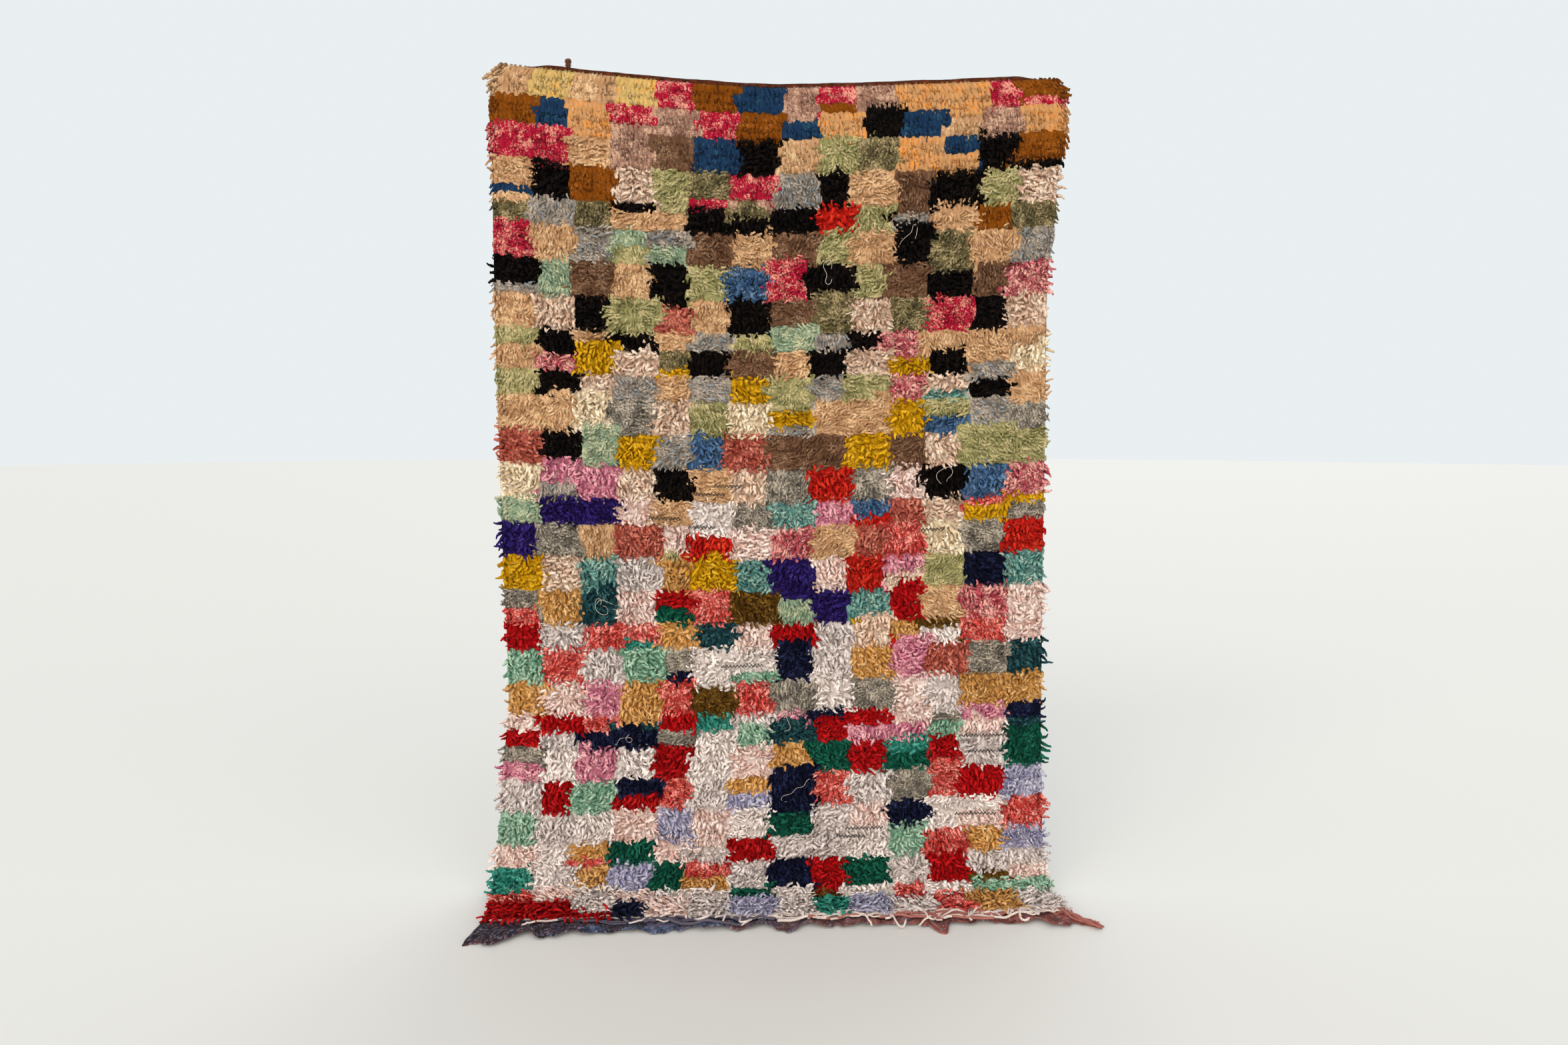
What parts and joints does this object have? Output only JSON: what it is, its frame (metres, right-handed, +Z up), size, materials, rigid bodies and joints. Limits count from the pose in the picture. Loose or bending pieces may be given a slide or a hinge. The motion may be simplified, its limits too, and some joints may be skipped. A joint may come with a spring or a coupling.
{
  "type": "boucherouite rug",
  "caption": "Knotted rag-pile rug with uneven blocks of colour, hung by its top end with its foot swept forward on the floor.",
  "frame": {"origin": "middle of the rug's top edge, where it is held, at the back of its pile", "axes": "+Z up, -Y out of the pile towards a person who faces the rug, +X to that person's right"},
  "size_m": [1.4867, 0.3252, 2.021],
  "materials": {
    "rag_pile": "knotted rag and yarn pile in blocks of many colours",
    "heading_weave": "plain weave in brown-red wool",
    "band_weave": "weft-faced plain weave, indigo to brick red",
    "warp_yarn": "loose twisted cotton ends"
  },
  "bodies": {
    "root": {"pile_panel": "rag_pile", "top_heading": "heading_weave", "edge_knot": "heading_weave", "end_band": "band_weave", "warp_ends": "warp_yarn"}
  },
  "joints": []
}
